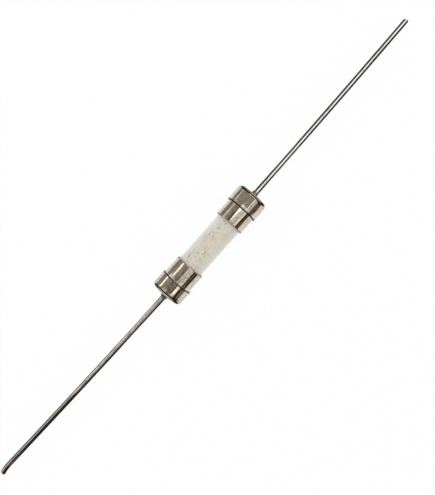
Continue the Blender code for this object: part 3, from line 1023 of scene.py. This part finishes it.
for seed, side in enumerate(("left", "right"), start=2):
    rim, face = ends_of("end_cap_" + side)
    shape = cup(rim, face, END_CAP_RADIUS, END_CAP_WALL, END_CAP_CORNER, 0)
    seam = ends_of("lead_cap_" + side)[0]
    # Dirt with painted shade in the seam under the lead cap's rim
    mark(shape, "dirt_and_shade", [(seam + SEAM_WIDTH, 1.0, SEAM_WIDTH)])
    # Dirt with painted shade on the open rim by the tube
    mark(shape, "rim", [(rim, RIM_DIRT_AND_SHADE, RIM_WIDTH)])
    # Wear with a painted highlight beside the seam
    mark(shape, "wear_and_highlight", [(seam - END_CAP_WEAR_AND_HIGHLIGHT_AT, END_CAP_WEAR_AND_HIGHLIGHT[side], WEAR_AND_HIGHLIGHT_WIDTH)])
    make_uneven(shape, CAP_WAVE, END_CAP_WAVE_LENGTH, seed, WAVE_STRETCH)
    if side == "right":
        raise_burr(shape, rim, 1)
    hand_over(shape, "end_cap_" + side, nickel)

    rim, face = ends_of("lead_cap_" + side)
    shape = cup(rim, face, LEAD_CAP_RADIUS, LEAD_CAP_WALL, LEAD_CAP_CORNER, WIRE_HOLE)
    # Dirt with painted shade along the lead cap's rim, at its step down to the end cap
    mark(shape, "dirt_and_shade", [(rim + SEAM_SHIFT, LEAD_CAP_DIRT_AND_SHADE[side], SEAM_WIDTH)])
    # Painted shade along the rounded corner, for the dark reflection there
    mark(shape, "painted_corner_shade", [(face - CORNER_LINE[side], 1.0, CORNER_LINE_WIDTH)],
         CORNER_LINE_BOW[side])
    # Wear with a painted highlight beside the seam
    mark(shape, "wear_and_highlight", [(rim + LEAD_CAP_WEAR_AND_HIGHLIGHT_AT, LEAD_CAP_WEAR_AND_HIGHLIGHT[side], WEAR_AND_HIGHLIGHT_WIDTH)])
    make_uneven(shape, CAP_WAVE, LEAD_CAP_WAVE_LENGTH, seed + 10, WAVE_STRETCH)
    hand_over(shape, "lead_cap_" + side, nickel)

# %% [markdown]
# ## Solder at the wires' roots
#
# Solder that wets a wire climbs it in a hollow curve and spreads over the cap in a thin
# skirt. The left one got more solder and is nearly a cone. Solder is never even, so the
# turned fillet is pushed about by noise.

# %% Root fillets
FILLET_SIDES = 96
FILLET_STEPS = 14
FILLET_WAVE = (0.05 * MM, 0.45 * MM)
FILLET_LIP = 0.04 * MM
SKIRT = 0.05 * MM
SUNK = 0.02 * MM
CLIMB = {"left": (0.82 * MM, 0.9), "right": (0.64 * MM, 1.6)}

for seed, side in enumerate(("left", "right"), start=30):
    top = ends_of("root_solder_" + side)[1]
    spread = radius_of("root_solder_" + side)
    start = ends_of("lead_cap_" + side)[1]
    foot, hollow = CLIMB[side]
    lip = WIRE_HOLE + FILLET_LIP
    shares = [i / FILLET_STEPS for i in range(FILLET_STEPS + 1)]
    flank = [(top - (top - start - SKIRT) * share, lip + (foot - lip) * share ** hollow)
             for share in shares]
    skirt = [(start + SKIRT / 3, (foot + spread) / 2), (start, spread), (start - SUNK, spread)]
    shape = turn([(top, WIRE_HOLE - SUNK)] + flank + skirt + [(start - SUNK, WIRE_HOLE - SUNK)],
                 FILLET_SIDES)
    make_uneven(shape, *FILLET_WAVE, seed)
    hand_over(shape, "root_solder_" + side, solder)

# %% [markdown]
# ## The wires
#
# Each wire is one piece of copper: a head, upset in a press, and a straight draw of wire
# that has been bent a little in handling. A curve with a bevel would make the wire but
# not the head, so the piece is grown from its head outwards: a disc is extruded to make
# the head, its end is inset to the wire's width, and that small face is then extruded
# from station to station along the route, each time turned to face the way it goes.

# %% Growing a wire
WIRE_SIDES = 32
WIRE_RADIUS = 0.425 * MM
HEAD_RADIUS = 1.20 * MM
HEAD_THICKNESS = 0.38 * MM
HEAD_EDGE = 0.08 * MM
X_AXIS = Vector((1, 0, 0))


def push(shape, face, drop_old):
    """Extrude a face and give back the new one. The old one is dropped when it lies inside."""
    grown = bmesh.ops.extrude_face_region(shape, geom=[face])["geom"]
    if drop_old:
        bmesh.ops.delete(shape, geom=[face], context='FACES_ONLY')
    return next(part for part in grown if isinstance(part, bmesh.types.BMFace))


def set_face(shape, face, centre, facing, radius):
    """Put a round face at a centre, facing a way, with a radius."""
    old_centre = face.calc_center_median()
    old_radius = (face.verts[0].co - old_centre).length
    turned = face.normal.rotation_difference(facing).to_matrix()
    bmesh.ops.scale(shape, verts=face.verts[:], vec=[radius / old_radius] * 3,
                    space=Matrix.Translation(-old_centre))
    bmesh.ops.rotate(shape, verts=face.verts[:], cent=old_centre, matrix=turned)
    bmesh.ops.translate(shape, verts=face.verts[:], vec=centre - old_centre)
    face.normal_update()


def grow_wire(start, route):
    """A head at a place on the axis, and a wire along (centre, facing, radius) stations."""
    shape = bmesh.new()
    bmesh.ops.create_circle(shape, cap_ends=True, segments=WIRE_SIDES, radius=HEAD_RADIUS - HEAD_EDGE)
    face = shape.faces[:][0]
    face.normal_update()
    set_face(shape, face, X_AXIS * start, X_AXIS, HEAD_RADIUS - HEAD_EDGE)
    head = [(HEAD_EDGE, HEAD_RADIUS), (HEAD_THICKNESS - HEAD_EDGE, HEAD_RADIUS),
            (HEAD_THICKNESS, HEAD_RADIUS - HEAD_EDGE), (HEAD_THICKNESS, route[0][2])]
    stations = [(X_AXIS * (start + run), X_AXIS, radius) for run, radius in head] + route
    for i, (centre, facing, radius) in enumerate(stations):
        face = push(shape, face, drop_old=i > 0)
        set_face(shape, face, centre, facing, radius)
    bmesh.ops.recalc_face_normals(shape, faces=shape.faces)
    return shape


# %% [markdown]
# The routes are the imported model's own: a sideways drift that grows as a power of the
# distance from the cap, and at the left tip the small hook that the nippers left. Tin
# lies a little thicker on the first seven millimetres, where the solder ran up.

# %% The wires' routes
TIN_THICKNESS = 0.035 * MM
TIN_RUN = 7.0 * MM
HOOK_RUN = 1.8 * MM
HOOK_DROP = 0.22 * MM
STATION_STEP = 0.45 * MM
SPARE = 0.8 * MM


def wire_route(face, free, tip, drift, power, hook):
    """Stations from a cap's face to just past the tip, in the frame of the right end."""
    def sideways(along):
        run = max(along - free, 0) / (tip - free)
        hooked = max(along - (tip - HOOK_RUN), 0) / HOOK_RUN
        return drift * run ** power - hook * hooked ** 2

    def centre(along):
        return Vector((along, sideways(along), 0))

    count = round((tip - face) / STATION_STEP)
    stations = [face + (tip - face) * i / count for i in range(count + 1)] + [tip + SPARE]
    route = []
    for along in stations:
        facing = (centre(along + TOUCH * 100) - centre(along - TOUCH * 100)).normalized()
        tin = TIN_THICKNESS * max(1 - max(along - free, 0) / TIN_RUN, 0)
        route.append((centre(along), facing, WIRE_RADIUS + tin))
    return route


# %% [markdown]
# The nippers cut each wire off: a plane through the tip takes the spare end away, the
# hole is filled, and the cut's edge is rounded over. The right wire was cut on a skew of
# twelve degrees. The new face and its rounded edge are marked with the attribute cut,
# which the finish turns to copper.

# %% Cutting a wire off
CUT_EDGE = 0.07 * MM
CUT_MARGIN = 0.03 * MM
CUT_STEPS = 4
WIRE_WAVE = (0.006 * MM, 1.3 * MM)


def cut_off(shape, place, skew):
    facing = Vector((math.cos(skew), math.sin(skew), 0))
    cut = bmesh.ops.bisect_plane(
        shape, geom=shape.verts[:] + shape.edges[:] + shape.faces[:], dist=TOUCH,
        plane_co=place, plane_no=facing, clear_outer=True)
    rim = [part for part in cut["geom_cut"] if isinstance(part, bmesh.types.BMEdge)]
    bmesh.ops.edgeloop_fill(shape, edges=rim)
    round_edges(shape, rim, CUT_EDGE, CUT_STEPS)
    copper_mark = shape.faces.layers.float.new("cut")
    for face in shape.faces:
        depth = (face.calc_center_median() - place).dot(facing)
        face[copper_mark] = 1.0 if depth > -CUT_MARGIN else 0.0


# Side, tip's distance past the cap's face, drift, power, hook, skew
WIRES = [
    ("left", 39.85 * MM, -0.79 * MM, 1.45, -HOOK_DROP, 0.0),
    ("right", 38.30 * MM, 0.345 * MM, 1.9, 0.0, math.radians(12)),
]
for seed, (side, length, drift, power, hook, skew) in enumerate(WIRES, start=40):
    start = ends_of("lead_" + side)[0]
    face = ends_of("lead_cap_" + side)[1]
    free = ends_of("root_solder_" + side)[1]
    route = wire_route(start + HEAD_THICKNESS, free, face + length, drift, power, hook)
    shape = grow_wire(start, route)
    make_uneven(shape, *WIRE_WAVE, seed)
    cut_off(shape, route[-2][0], skew)
    hand_over(shape, "lead_" + side, tinned)

# %% [markdown]
# ## What the fuse holds inside
#
# The packed sand, the melting element and four soldered joints are never seen, but each
# of them is a turned piece like the rest, with its sizes read from the solids.

# %% Inner pieces
ELEMENT_CHANNEL = 0.155 * MM
HEAD_POCKET = 1.23 * MM
PAD_DISH = 0.15 * MM
HEAD_CLEARANCE = 0.03 * MM
SAND_SIDES = 96
SAND_BANDS = 90
SAND_WAVE = (0.03 * MM, 0.25 * MM)
ELEMENT_SIDES = 24
SOLDER_SIDES = 64

sand_half = ends_of("quartz_filler")[1]
sand_radius = radius_of("quartz_filler")
shape = turn([(sand_half, ELEMENT_CHANNEL), (sand_half, sand_radius),
              (-sand_half, sand_radius), (-sand_half, ELEMENT_CHANNEL)], SAND_SIDES)
cut_into_bands(shape, -sand_half, sand_half, SAND_BANDS)
make_uneven(shape, *SAND_WAVE, seed=50)
hand_over(shape, "quartz_filler", sand)

wire_half = ends_of("fuse_element")[1]
wire_radius = radius_of("fuse_element")
shape = turn([(wire_half, 0), (wire_half, wire_radius), (-wire_half, wire_radius), (-wire_half, 0)],
             ELEMENT_SIDES)
hand_over(shape, "fuse_element", silver)

for side in ("left", "right"):
    back, front = ends_of("element_solder_" + side)
    rim = radius_of("element_solder_" + side)
    shape = turn([(front, ELEMENT_CHANNEL), (front, rim), (back, rim),
                  (back + PAD_DISH, ELEMENT_CHANNEL)], SOLDER_SIDES)
    hand_over(shape, "element_solder_" + side, solder)

    back, front = ends_of("bed_solder_" + side)
    rim = radius_of("bed_solder_" + side)
    floor = front - HEAD_THICKNESS - HEAD_CLEARANCE
    shape = turn([(floor, 0), (floor, HEAD_POCKET), (front, HEAD_POCKET), (front, rim),
                  (back, rim), (back, 0)], SOLDER_SIDES)
    hand_over(shape, "bed_solder_" + side, solder)
